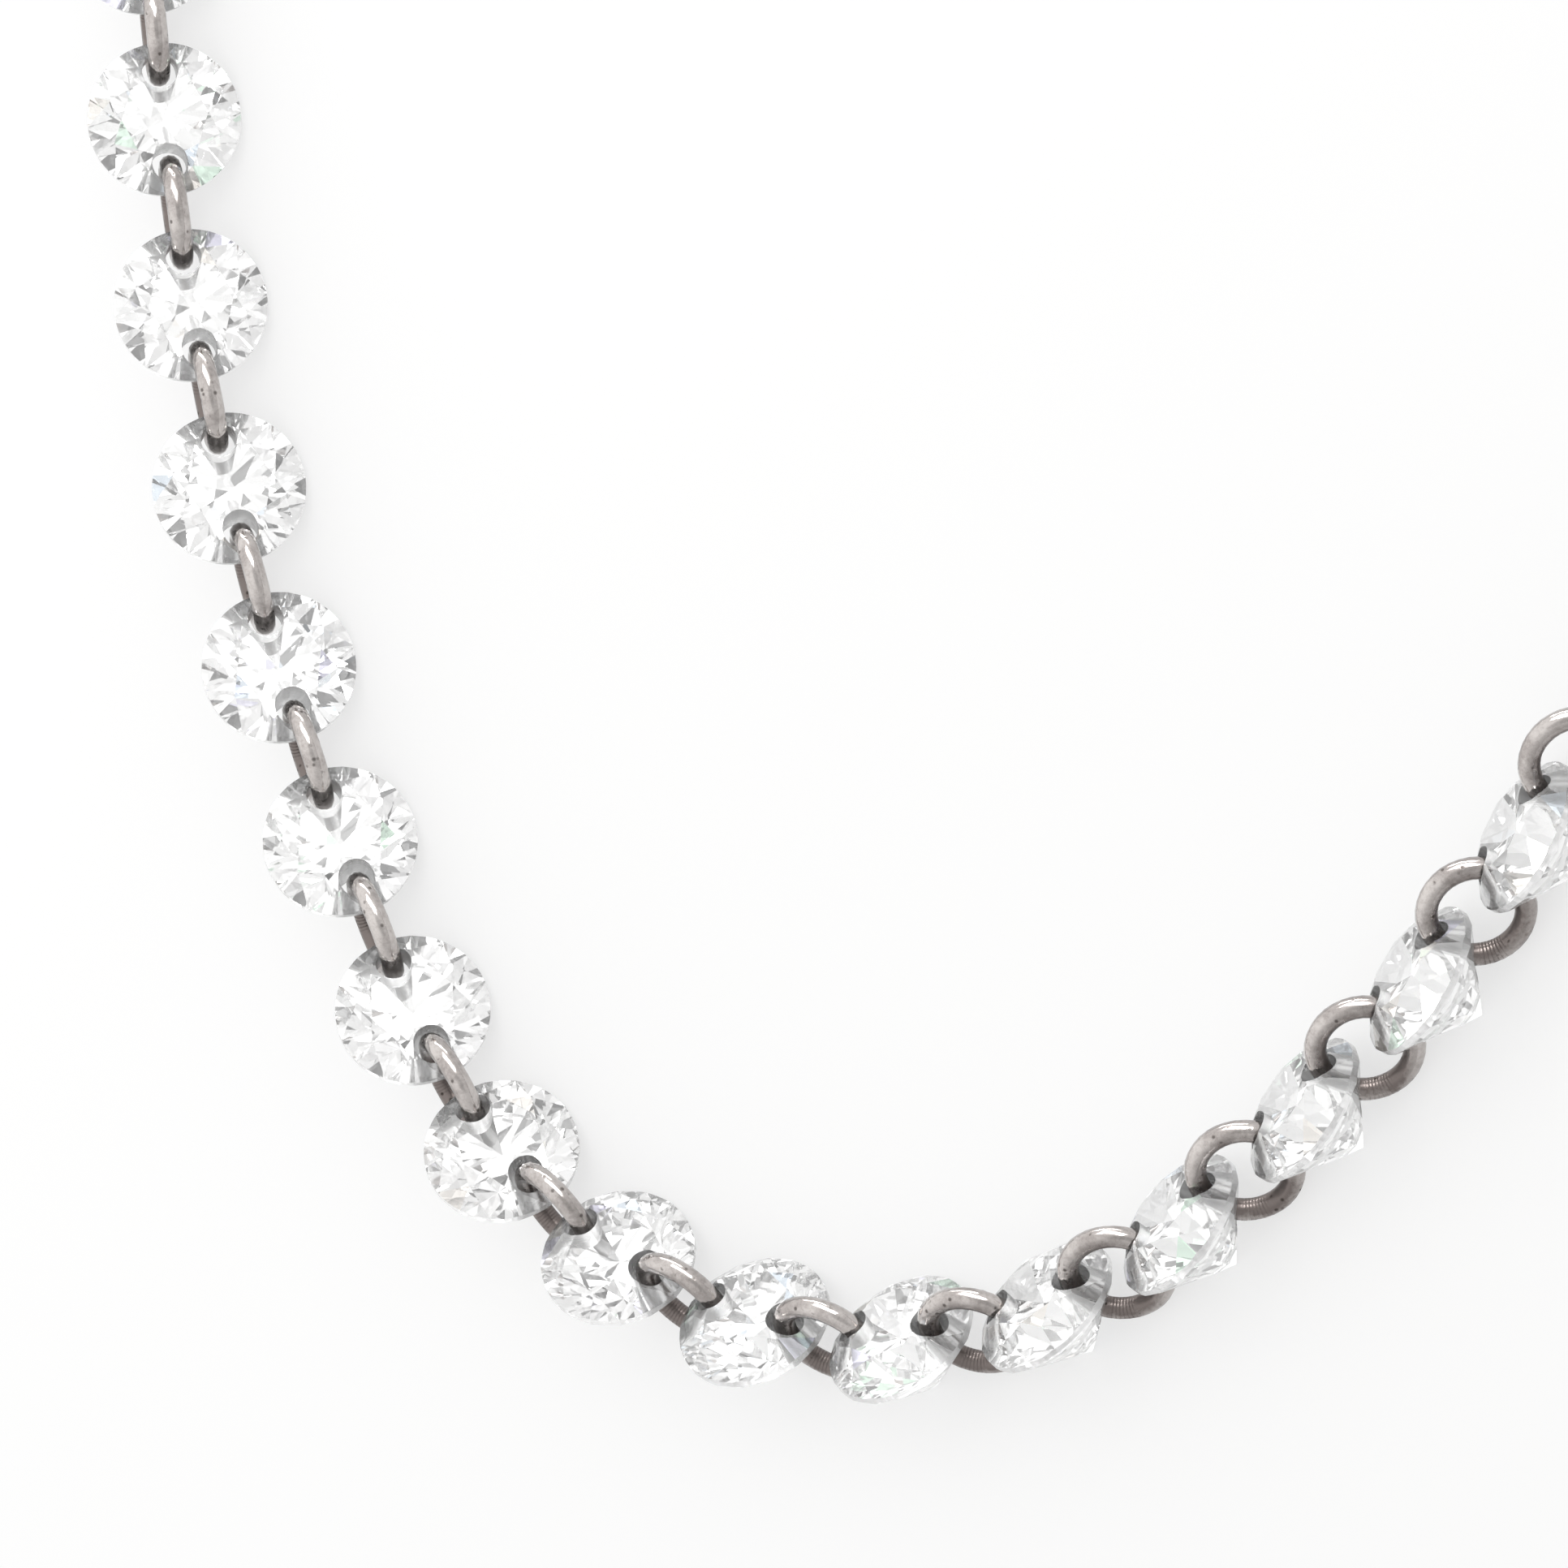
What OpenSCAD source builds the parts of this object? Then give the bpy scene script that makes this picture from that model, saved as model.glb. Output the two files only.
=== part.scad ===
// Necklace of drilled round brilliants joined by plain round rings, lying closed on a flat surface.
// Every stone lies on one pavilion facet, with its table turned up and towards the inside of the loop.
// The front of the necklace is towards -Y.

/* [Stone] */
// Girdle diameter of a stone, across two opposite girdle corners
stone_d = 3.5; // [3:0.1:4.2]
// Table width across corners, as a share of the girdle diameter
table_share = 0.56; // [0.54:0.01:0.6]
// Crown height, as a share of the girdle diameter
crown_share = 0.15; // [0.14:0.005:0.16]
// Girdle thickness at its thin points, as a share of the girdle diameter
girdle_share = 0.05; // [0.04:0.005:0.055]
// Angle of the eight pavilion facets to the girdle
pavilion_angle = 41; // [40:0.25:42]

/* [Holes] */
// Distance of each hole's axis from the stone's axis, as a share of the girdle diameter
hole_share = 0.296; // [0.294:0.001:0.298]
// Diameter of the holes, as a share of the girdle diameter
hole_d_share = 0.23; // [0.226:0.002:0.232]

/* [Jump rings] */
// Outer diameter of a ring, as a share of the girdle diameter
ring_od_share = 0.75; // [0.745:0.005:0.755]
// Wire diameter, as a share of the girdle diameter
wire_share = 0.14; // [0.12:0.005:0.14]

/* [Clasp] */
// Length of the barrel with its two domed ends
barrel_l = 7.2; // [6:0.1:7.6]
// Thickness of the eye plate at each end
eye_t = 0.5; // [0.4:0.05:0.55]

/* [Loop] */
// Places for stones round the whole loop, of which the clasp takes three
places = 102; // [96:1:110]
// Spacing of the places away from the front, in girdle diameters
back_pitch = 1.18; // [1.17:0.005:1.19]
// How far each side of the loop turns before the round back begins
side_turn = 12; // [8:1:30]

/* [Hidden] */
$fn = 48;

// Front of the loop, from the upper left round to the right: stones, degrees turned and spacing
STONES = 0;
TURNED = 1;
PITCH = 2;
front_rows = [
    [5, 23, 1.22],
    [6, 94, 1.14],
    [3, 16, 1.17],
];
front_heading = -82;
front_places = total([for (row = front_rows) row[STONES]]);
front_turn = total([for (row = front_rows) row[TURNED]]);

// Stone, with its girdle plane at z = 0 and its table upwards
girdle_r = stone_d / 2;
girdle_z = girdle_share * stone_d / 2;
table_r = table_share * stone_d / 2;
table_z = girdle_z + crown_share * stone_d;
culet_z = -girdle_z - girdle_r * tan(pavilion_angle);
facet_folds = 8;
girdle_sides = 16;
hole_x = hole_share * stone_d;
hole_d = hole_d_share * stone_d;

// The stone lies on a pavilion facet, so it leans inwards by the angle of that facet
lean = pavilion_angle;
rest_z = girdle_r * sin(lean) + girdle_z * cos(lean);

// Ring, centred on the stones' thickness at the holes
wire_d = wire_share * stone_d;
ring_r = (ring_od_share * stone_d - wire_d) / 2;
nub_x = hole_x + hole_d / 2;
crown_slope = (table_z - girdle_z) / (girdle_r - table_r);
nub_rise = (girdle_r - nub_x) * crown_slope;
nub_drop = (girdle_r - nub_x) * tan(pavilion_angle);
ring_z = (nub_rise - nub_drop) / 2;

// Clasp, which takes the three places opposite the front and rests on its barrel
clasp_places = 3;
clasp_place = round((places + front_places) / 2);
clasp_reach = clasp_places / 2 * back_pitch * stone_d - (back_pitch / 2 * stone_d - hole_x);
barrel_r = rest_z + ring_z * cos(lean);
dome_l = barrel_r / 2;
groove_w = 0.3;
groove_depth = 0.12;
eye_r = hole_d / 2 + stone_d / 2 - nub_x;

function total(list, n = -1) =
    let (last = n < 0 ? len(list) - 1 : n) last == 0 ? list[0] : list[last] + total(list, last - 1);

// Where an arc of unit length ends, from its first heading and its turn in degrees
function unit_arc(heading, turn) =
    [sin(heading + turn) - sin(heading), cos(heading) - cos(heading + turn)] / (turn * PI / 180);
function walk(arcs, i, s, p, heading) =
    let (l = arcs[i][0], turn = arcs[i][1])
    s > l && i < len(arcs) - 1
        ? walk(arcs, i + 1, s - l, p + l * unit_arc(heading, turn), heading + turn)
        : let (end = p + s * unit_arc(heading, turn * s / l)) [end[0], end[1], heading + turn * s / l];
function determinant(a, b, c) = a * cross(b, c);

// The front is given. Three arcs close the loop: a side, the round back and the other side.
front_arcs = [for (row = front_rows) [row[STONES] * row[PITCH] * stone_d, row[TURNED]]];
front_l = total([for (arc = front_arcs) arc[0]]);
front_end = walk(front_arcs, 0, front_l, [0, 0], front_heading);
back_l = (places - front_places) * back_pitch * stone_d;
back_turns = [side_turn, 360 - front_turn - 2 * side_turn, side_turn];
back_headings = [front_end[2], front_end[2] + side_turn, front_end[2] + side_turn + back_turns[1]];
closing = [for (i = [0 : 2]) let (u = unit_arc(back_headings[i], back_turns[i])) [u[0], u[1], 1]];
goal = [-front_end[0], -front_end[1], back_l];
closing_det = determinant(closing[0], closing[1], closing[2]);
back_arcs = [
    [determinant(goal, closing[1], closing[2]) / closing_det, back_turns[0]],
    [determinant(closing[0], goal, closing[2]) / closing_det, back_turns[1]],
    [determinant(closing[0], closing[1], goal) / closing_det, back_turns[2]],
];
arcs = concat(front_arcs, back_arcs);

// Distance of a place along the loop, then its position and heading
function front_mark(k, row = 0) =
    let (n = front_rows[row][STONES], step = front_rows[row][PITCH] * stone_d)
    k <= n ? k * step : n * step + front_mark(k - n, row + 1);
function mark(k) =
    k <= front_places ? front_mark(k) : front_l + (k - front_places) * back_pitch * stone_d;
function loop_at(s) = walk(arcs, 0, s, [0, 0], front_heading);
function place(k) = loop_at(max(mark(k), 0.001));

// The clasp is straight, with both eyes on the line of the loop
clasp_eyes = [for (side = [-1, 1]) loop_at(mark(clasp_place) + side * clasp_reach)];
clasp_at = (clasp_eyes[0] + clasp_eyes[1]) / 2;

// Everything on the chain in order: x, y, heading and the distance of its holes from its middle
link_places = [for (k = [0 : places - 1]) if (abs(k - clasp_place) != 1) k];
links = [for (k = link_places) k == clasp_place ? concat(clasp_at, clasp_reach) : concat(place(k), hole_x)];
xs = [for (link = links) link[0]];
ys = [for (link = links) link[1]];
middle = [(min(xs) + max(xs)) / 2, (min(ys) + max(ys)) / 2];

// The hole at one end of a link, in plan: side is 1 for the leading end and -1 for the trailing one
function hole_at(link, side) =
    [link[0] + side * link[3] * cos(link[2]), link[1] + side * link[3] * sin(link[2])];

module lay(x, y, heading) {
    translate([x - middle[0], y - middle[1], rest_z]) rotate([0, 0, heading]) rotate([-lean, 0, 0])
        children();
}

// One pair of crown facets with the pavilion facets below them, across the whole stone
module facet_slab() {
    half_outline = [[table_r, table_z], [girdle_r, girdle_z], [girdle_r, -girdle_z]];
    other_half = [for (i = [2 : -1 : 0]) [-half_outline[i][0], half_outline[i][1]]];
    rotate([90, 0, 0]) linear_extrude(height = 2 * stone_d, center = true)
        polygon(concat(half_outline, [[0, culet_z]], other_half));
}

module girdle_prism() {
    corners = [for (i = [0 : girdle_sides - 1]) let (a = i * 360 / girdle_sides) girdle_r * [cos(a), sin(a)]];
    linear_extrude(height = 2 * stone_d, center = true) polygon(corners);
}

module stone() {
    difference() {
        intersection() {
            girdle_prism();
            intersection_for (i = [0 : facet_folds / 2 - 1]) rotate([0, 0, i * 360 / facet_folds]) facet_slab();
        }
        for (side = [-1, 1]) translate([side * hole_x, 0, 0]) cylinder(h = 2 * stone_d, d = hole_d, center = true);
    }
}

module jump_ring() {
    rotate([90, 0, 0]) rotate_extrude() translate([ring_r, 0]) circle(d = wire_d);
}

module barrel() {
    half_outline = [
        [0, 0], [barrel_r, 0],
        [barrel_r, barrel_l / 2 - dome_l - 2 * groove_w],
        [barrel_r - groove_depth, barrel_l / 2 - dome_l - 2 * groove_w],
        [barrel_r - groove_depth, barrel_l / 2 - dome_l - groove_w],
        [barrel_r, barrel_l / 2 - dome_l - groove_w],
        [barrel_r, barrel_l / 2 - dome_l],
        [barrel_r * 0.55, barrel_l / 2], [0, barrel_l / 2],
    ];
    for (side = [-1, 1]) rotate([0, side * 90, 0]) rotate_extrude() polygon(half_outline);
}

module eye_plate() {
    difference() {
        translate([0, 0, -eye_t / 2]) linear_extrude(height = eye_t) union() {
            translate([0, -eye_r]) square([clasp_reach, 2 * eye_r]);
            translate([clasp_reach, 0]) circle(r = eye_r);
        }
        translate([clasp_reach, 0, -eye_t]) cylinder(h = 2 * eye_t, d = hole_d);
    }
}

module diamonds() {
    for (link = links) if (link[3] == hole_x) color([0.93, 0.95, 0.97]) lay(link[0], link[1], link[2]) stone();
}

module jump_rings() {
    for (i = [0 : len(links) - 1]) {
        from = hole_at(links[i], 1);
        to = hole_at(links[(i + 1) % len(links)], -1);
        mid = (from + to) / 2;
        across = to - from;
        color([0.66, 0.63, 0.61]) lay(mid[0], mid[1], atan2(across[1], across[0]))
            translate([0, 0, ring_z]) jump_ring();
    }
}

module clasp() {
    color([0.66, 0.63, 0.61]) lay(clasp_at[0], clasp_at[1], clasp_at[2]) translate([0, 0, ring_z]) {
        barrel();
        for (side = [0, 180]) rotate([0, 0, side]) eye_plate();
    }
}

diamonds();
jump_rings();
clasp();
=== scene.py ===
# %% [markdown]
# # A diamond chain necklace
#
# The necklace is a closed string of round brilliants. Each stone is drilled through twice, once near either
# end of its width, and plain round wire rings join every stone to the next. It lies on a pale surface in one
# loop, and a small barrel clasp closes it at the back. This lesson cuts one stone and bends one ring, lays a
# copy of each along the loop, and then gives them glass, metal, light and a camera.

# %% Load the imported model
import math
import random

import bmesh
import bpy
from mathutils import Euler, Matrix, Vector


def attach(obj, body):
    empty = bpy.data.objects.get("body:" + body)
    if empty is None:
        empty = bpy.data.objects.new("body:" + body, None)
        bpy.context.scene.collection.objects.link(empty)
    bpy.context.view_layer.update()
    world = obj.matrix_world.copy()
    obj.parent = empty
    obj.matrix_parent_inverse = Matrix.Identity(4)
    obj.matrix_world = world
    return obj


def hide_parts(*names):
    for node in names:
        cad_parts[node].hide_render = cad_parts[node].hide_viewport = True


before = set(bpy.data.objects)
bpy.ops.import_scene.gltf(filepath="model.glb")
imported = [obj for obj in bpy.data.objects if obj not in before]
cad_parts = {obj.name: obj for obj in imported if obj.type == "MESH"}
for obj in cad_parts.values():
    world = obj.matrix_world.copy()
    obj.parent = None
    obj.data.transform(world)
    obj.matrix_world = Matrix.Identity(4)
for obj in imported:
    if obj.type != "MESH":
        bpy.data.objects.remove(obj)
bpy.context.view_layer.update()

# %% [markdown]
# ## The camera
#
# The photograph looks down at the loop from the right, at 53.5 degrees above the surface, through a long
# lens from about 35 cm away. A camera could be aimed with a constraint, but a plain place and a single turn
# about Y say the same and stay exact: turned by 36.5 degrees, it has +Y of the loop upwards in the picture.

# %% Camera
CAMERA_ELEVATION = 53.5
CAMERA_AT = Vector((0.18604, -0.06998, 0.29066))
CAMERA_LENS = 377.98
CAMERA_CLIP = (0.01, 10)

camera_data = bpy.data.cameras.new("camera")
camera_data.lens = CAMERA_LENS
camera_data.clip_start, camera_data.clip_end = CAMERA_CLIP
camera = bpy.data.objects.new("camera", camera_data)
camera.location = CAMERA_AT
camera.rotation_euler = Euler((0, math.radians(90 - CAMERA_ELEVATION), 0))
bpy.context.scene.collection.objects.link(camera)
bpy.context.scene.camera = camera
print("field of view:", round(math.degrees(camera_data.angle), 2), "degrees")

# %% [markdown]
# ## The sizes
#
# A stone is described as a cutter would, by shares of its girdle diameter. The same few numbers are in the
# solid model, and everything else, such as how high a stone stands when it leans on one of its lower facets,
# is worked out from them. They are in millimetres, because that is how the trade speaks of stones.

# %% Stone, hole and ring sizes in millimetres
STONE_D = 3.5
TABLE_SHARE, CROWN_SHARE, GIRDLE_SHARE = 0.56, 0.15, 0.05
PAVILION_ANGLE = 41
HOLE_SHARE, HOLE_D_SHARE = 0.296, 0.23
RING_OD_SHARE, WIRE_SHARE = 0.75, 0.14

girdle_r = STONE_D / 2
girdle_z = GIRDLE_SHARE * STONE_D / 2
table_r = TABLE_SHARE * STONE_D / 2
table_z = girdle_z + CROWN_SHARE * STONE_D
crown_slope = (table_z - girdle_z) / (girdle_r - table_r)
pavilion_slope = math.tan(math.radians(PAVILION_ANGLE))
hole_x = HOLE_SHARE * STONE_D
hole_r = HOLE_D_SHARE * STONE_D / 2
wire_r = WIRE_SHARE * STONE_D / 2
ring_r = RING_OD_SHARE * STONE_D / 2 - wire_r
lean = math.radians(PAVILION_ANGLE)
rest_z = girdle_r * math.sin(lean) + girdle_z * math.cos(lean)
nub_x = hole_x + hole_r
ring_z = (girdle_r - nub_x) * (crown_slope - pavilion_slope) / 2
print("girdle plane", round(rest_z, 3), "mm up; ring centres", round(ring_z, 3), "mm along the stones' axes")

# %% [markdown]
# ## The route of the loop
#
# Every stone and ring has its place on one closed line of arcs: three short ones that follow the photograph
# and three long ones that bring the loop round. The lengths of the long ones aren't free, because the line
# has to end where it began and to hold a whole number of stones. That makes three plain equations. They are
# solved here in the same way as in the solid model, so that each piece lands on its solid.

# %% The arcs of the loop
FRONT_ROWS = [
    {"stones": 5, "turned": 23, "pitch": 1.22},
    {"stones": 6, "turned": 94, "pitch": 1.14},
    {"stones": 3, "turned": 16, "pitch": 1.17},
]
FRONT_HEADING = -82
PLACES = 102
BACK_PITCH = 1.18
SIDE_TURN = 12
STRAIGHT = 1e-9


def unit_arc(heading, turn):
    """Where an arc of unit length ends, from its first heading and its turn in degrees."""
    first, last = math.radians(heading), math.radians(heading + turn)
    return Vector((math.sin(last) - math.sin(first), math.cos(first) - math.cos(last))) / (last - first)


def loop_at(arcs, distance):
    """The point and the heading at a distance along the arcs."""
    point, heading = Vector((0, 0)), FRONT_HEADING
    for length, turn in arcs[:-1]:
        if distance <= length:
            break
        point, heading, distance = point + length * unit_arc(heading, turn), heading + turn, distance - length
    else:
        length, turn = arcs[-1]
    turned = turn * distance / length
    if abs(turned) > STRAIGHT:
        point = point + distance * unit_arc(heading, turned)
    return point, heading + turned


front_places = sum(row["stones"] for row in FRONT_ROWS)
front_arcs = [(row["stones"] * row["pitch"] * STONE_D, row["turned"]) for row in FRONT_ROWS]
front_length = sum(length for length, turn in front_arcs)
front_end, end_heading = loop_at(front_arcs, front_length)
back_length = (PLACES - front_places) * BACK_PITCH * STONE_D
back_turns = [SIDE_TURN, FRONT_HEADING + 360 - end_heading - 2 * SIDE_TURN, SIDE_TURN]
back_headings = [end_heading, end_heading + back_turns[0], end_heading + back_turns[0] + back_turns[1]]
columns = [unit_arc(heading, turn) for heading, turn in zip(back_headings, back_turns)]
equations = Matrix(([c.x for c in columns], [c.y for c in columns], [1, 1, 1]))
back_lengths = equations.inverted() @ Vector((-front_end.x, -front_end.y, back_length))
arcs = front_arcs + list(zip(back_lengths, back_turns))
print("arcs in mm:", [round(length, 1) for length, turn in arcs])
print("whole loop:", round(front_length + back_length, 1), "mm")

# %% The places of the stones and of the clasp
CLASP_PLACES = 3

marks = [0]
for row in FRONT_ROWS:
    marks += [marks[-1] + (i + 1) * row["pitch"] * STONE_D for i in range(row["stones"])]
marks += [front_length + (i + 1) * BACK_PITCH * STONE_D for i in range(PLACES - front_places - 1)]
clasp_place = round((PLACES + front_places) / 2)
clasp_reach = (CLASP_PLACES - 1) / 2 * BACK_PITCH * STONE_D + hole_x
clasp_ends = [loop_at(arcs, marks[clasp_place] + side * clasp_reach) for side in (-1, 1)]
clasp_middle = sum((point for point, heading in clasp_ends), Vector((0, 0))) / 2
clasp_heading = sum(heading for point, heading in clasp_ends) / 2

links = []
for k, mark in enumerate(marks):
    if k == clasp_place:
        links.append((clasp_middle, clasp_heading, clasp_reach))
    elif abs(k - clasp_place) > 1:
        links.append((*loop_at(arcs, mark), hole_x))
print(len(links) - 1, "stones and one clasp on the string")

# %% Laying a piece down
METRES_PER_MM = 0.001

xs = [point.x for point, heading, reach in links]
ys = [point.y for point, heading, reach in links]
middle = Vector(((min(xs) + max(xs)) / 2, (min(ys) + max(ys)) / 2))


def lay(point, heading):
    """Turns a piece made in mm about its own centre into its place on the surface, in metres."""
    place = Matrix.Translation((point.x - middle.x, point.y - middle.y, rest_z))
    turn = Matrix.Rotation(math.radians(heading), 4, "Z") @ Matrix.Rotation(-lean, 4, "X")
    return Matrix.Scale(METRES_PER_MM, 4) @ place @ turn


def hole_at(link, side):
    """The middle of the hole at the leading (1) or the trailing (-1) end of a link, in plan."""
    point, heading, reach = link
    return point + side * reach * Vector((math.cos(math.radians(heading)), math.sin(math.radians(heading))))


stone_places = [lay(point, heading) for point, heading, reach in links if reach == hole_x]
clasp_at = lay(clasp_middle, clasp_heading) @ Matrix.Translation((0, 0, ring_z))
ring_places = []
for link, following in zip(links, links[1:] + links[:1]):
    start, end = hole_at(link, 1), hole_at(following, -1)
    along = math.degrees(math.atan2(end.y - start.y, end.x - start.x))
    ring_places.append(lay((start + end) / 2, along) @ Matrix.Translation((0, 0, ring_z)))
print(len(stone_places), "stones,", len(ring_places), "rings")

# %% [markdown]
# ## Cutting a round brilliant
#
# A real brilliant starts as a turned cylinder, and the cutter grinds one flat after another. The same can be
# done here. A mesh could be worked out corner by corner, but it is safer to grind: bisect_plane slices the
# stone, throws away what lies outside, and the open slice is closed with one face, which is the facet. The
# order is the cutter's too: the table, the eight mains above and below, the stars, and last the halves
# along the girdle, which leave it scalloped.

# %% Grinding a row of facets
GIRDLE_SIDES = 64
GIRDLE_TURNED_R = 1.73
BLANK_DEPTH = 6
CUT_TOLERANCE, MERGE_DISTANCE = 1e-5, 1e-4


def grind(stone, angle, radius, height, count, first, up):
    """Grinds count facets at an angle to the girdle, each through the height given at the radius given.

    The first one faces the direction given in degrees, and up says which side of the girdle it is on.
    """
    slope = math.radians(angle)
    for i in range(count):
        around = math.radians(first + i * 360 / count)
        outward = Vector((math.cos(around), math.sin(around), 0))
        normal = outward * math.sin(slope) + Vector((0, 0, up * math.cos(slope)))
        on_plane = outward * radius + Vector((0, 0, height))
        everything = stone.verts[:] + stone.edges[:] + stone.faces[:]
        cut = bmesh.ops.bisect_plane(
            stone, geom=everything, dist=CUT_TOLERANCE, plane_co=on_plane, plane_no=normal, clear_outer=True
        )
        rim = [e for e in cut["geom_cut"] if isinstance(e, bmesh.types.BMEdge)]
        if len(rim) > 2:
            bmesh.ops.contextual_create(stone, geom=rim)


# %% The facets of the brilliant
CROWN, PAVILION = 1, -1
MAINS, HALVES = 8, 16
BETWEEN_MAINS, BETWEEN_HALVES = 180 / MAINS, 180 / HALVES
STAR_ANGLE, UPPER_HALF_ANGLE, LOWER_HALF_ANGLE = 21, 40, 42.3

stone = bmesh.new()
bmesh.ops.create_cone(
    stone, cap_ends=True, segments=GIRDLE_SIDES, radius1=GIRDLE_TURNED_R, radius2=GIRDLE_TURNED_R,
    depth=BLANK_DEPTH,
)
crown_angle = math.degrees(math.atan(crown_slope))
upper_edge = girdle_z + (girdle_r - GIRDLE_TURNED_R) * crown_slope
lower_edge = -girdle_z - (girdle_r - GIRDLE_TURNED_R) * pavilion_slope
star_r = table_r * math.cos(math.radians(BETWEEN_MAINS))
half_r = GIRDLE_TURNED_R * math.cos(math.radians(BETWEEN_HALVES))
grind(stone, 0, 0, table_z, 1, 0, CROWN)
grind(stone, crown_angle, girdle_r, girdle_z, MAINS, 0, CROWN)
grind(stone, PAVILION_ANGLE, girdle_r, -girdle_z, MAINS, 0, PAVILION)
grind(stone, STAR_ANGLE, star_r, table_z, MAINS, BETWEEN_MAINS, CROWN)
grind(stone, UPPER_HALF_ANGLE, half_r, upper_edge, HALVES, BETWEEN_HALVES, CROWN)
grind(stone, LOWER_HALF_ANGLE, half_r, lower_edge, HALVES, BETWEEN_HALVES, PAVILION)
bmesh.ops.remove_doubles(stone, verts=stone.verts, dist=MERGE_DISTANCE)
print("brilliant:", len(stone.faces) - GIRDLE_SIDES, "facets and", GIRDLE_SIDES, "sides to the girdle")

# %% [markdown]
# ## Drilling it
#
# Both holes run straight through, parallel to the stone's axis. A Boolean modifier drills them, because a
# round hole through sloping facets has a rim that no single operator makes. A facet is polished, but the
# drill and the girdle's grinding leave a frosted skin, so those faces get a second material slot. The walls
# of the holes are smooth-shaded between sharp rims.

# %% Drill
HOLE_SIDES = 28


def mesh_object(name, bm):
    """A new object from a bmesh, at the origin."""
    mesh = bpy.data.meshes.new(name)
    bm.to_mesh(mesh)
    bm.free()
    piece = bpy.data.objects.new(name, mesh)
    bpy.context.scene.collection.objects.link(piece)
    return piece


def booleans(blank, tools):
    """The blank after each (operation, tool) in turn, as a new bmesh. The blank and the tools are used up."""
    for operation, tool in tools:
        step = blank.modifiers.new(operation.lower(), "BOOLEAN")
        step.operation, step.object, step.solver = operation, tool, "EXACT"
    result = bmesh.new()
    result.from_mesh(blank.evaluated_get(bpy.context.evaluated_depsgraph_get()).to_mesh())
    for used in [blank] + [tool for operation, tool in tools]:
        bpy.data.objects.remove(used)
    return result


drill = bmesh.new()
for side in (-1, 1):
    bmesh.ops.create_cone(
        drill, cap_ends=True, segments=HOLE_SIDES, radius1=hole_r, radius2=hole_r, depth=BLANK_DEPTH,
        matrix=Matrix.Translation((side * hole_x, 0, 0)),
    )
brilliant = booleans(mesh_object("blank", stone), [("DIFFERENCE", mesh_object("drill", drill))])
print("drilled brilliant:", len(brilliant.faces), "faces")

# %% Polished and frosted faces
POLISHED, FROSTED = 0, 1
UPRIGHT = 0.02
INSIDE_GIRDLE = 0.97

for face in brilliant.faces:
    upright = abs(face.normal.z) < UPRIGHT
    centre = face.calc_center_median()
    face.material_index = FROSTED if upright else POLISHED
    face.smooth = upright and math.hypot(centre.x, centre.y) < GIRDLE_TURNED_R * INSIDE_GIRDLE
for edge in brilliant.edges:
    edge.smooth = all(face.smooth for face in edge.link_faces)
frosted = sum(face.material_index == FROSTED for face in brilliant.faces)
print(frosted, "frosted faces,", len(brilliant.faces) - frosted, "polished ones")

# %% [markdown]
# ## Laying the stones
#
# All the stones are alike, so the one mesh is copied to each place inside a single bmesh. One object with
# its places in its mesh is lighter than a hundred objects, and it stands for one node of the solid. Before a
# copy is moved, it notes where each of its points is within the stone. Materials read that note later, so
# that the drill's grooves run round the holes of every stone, whichever way it lies.

# %% Copies along the loop


def repeat(name, pattern, places):
    """One object with a copy of the pattern at each place. It uses up the pattern."""
    own = pattern.verts.layers.float_vector.new("own place")
    for vert in pattern.verts:
        vert[own] = vert.co
    source = bpy.data.meshes.new(name)
    pattern.to_mesh(source)
    pattern.free()
    whole = bmesh.new()
    for place in places:
        before = len(whole.verts)
        whole.from_mesh(source)
        whole.verts.ensure_lookup_table()
        bmesh.ops.transform(whole, matrix=place, verts=whole.verts[before:])
    bpy.data.meshes.remove(source)
    return mesh_object(name, whole)


diamonds = repeat("brilliants", brilliant, stone_places)
print("all the stones:", len(diamonds.data.polygons), "faces")

# %% [markdown]
# ## Fire
#
# A diamond splits white light, so here and there one facet flashes green, blue or violet. Cycles bends all
# colours alike. Three glass shaders with three refractive indexes would split them, but the exported model
# keeps only one glass, so a few facets of each stone get a pale tint of their own instead. The choice of
# facets starts from a fixed seed, so it is the same in every run.

# %% Tints of the facets
FIRE = [(0.66, 1.0, 0.75), (0.70, 0.84, 1.0), (0.74, 0.72, 1.0), (1.0, 0.93, 0.84)]
FIRE_SHARE = 0.10
FIRE_LARGEST = 0.32e-6
FIRE_SEED = 7

chance = random.Random(FIRE_SEED)
fire = diamonds.data.attributes.new("fire", "FLOAT_COLOR", "CORNER")
tinted = 0
for polygon in diamonds.data.polygons:
    colour = (1.0, 1.0, 1.0)
    small = polygon.material_index == POLISHED and polygon.area < FIRE_LARGEST
    if small and chance.random() < FIRE_SHARE:
        colour, tinted = chance.choice(FIRE), tinted + 1
    for corner in polygon.loop_indices:
        fire.data[corner].color = (*colour, 1.0)
print(tinted, "tinted facets of", len(diamonds.data.polygons), "faces")

# %% [markdown]
# ## Rings
#
# A jump ring is round wire, bent to a circle and closed. A torus primitive would do, but spinning a small
# circle of wire about the ring's axis shows how any ring is made. Its UV map is unrolled like the wire: U
# runs once along it and V once round it, so that marks of drawing and bending can follow the metal. The seam
# of V lies on the inner side and the seam of U inside a hole, where neither is seen.

# %% One ring, spun from its wire
WIRE_SIDES, RING_STEPS = 12, 36

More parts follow.
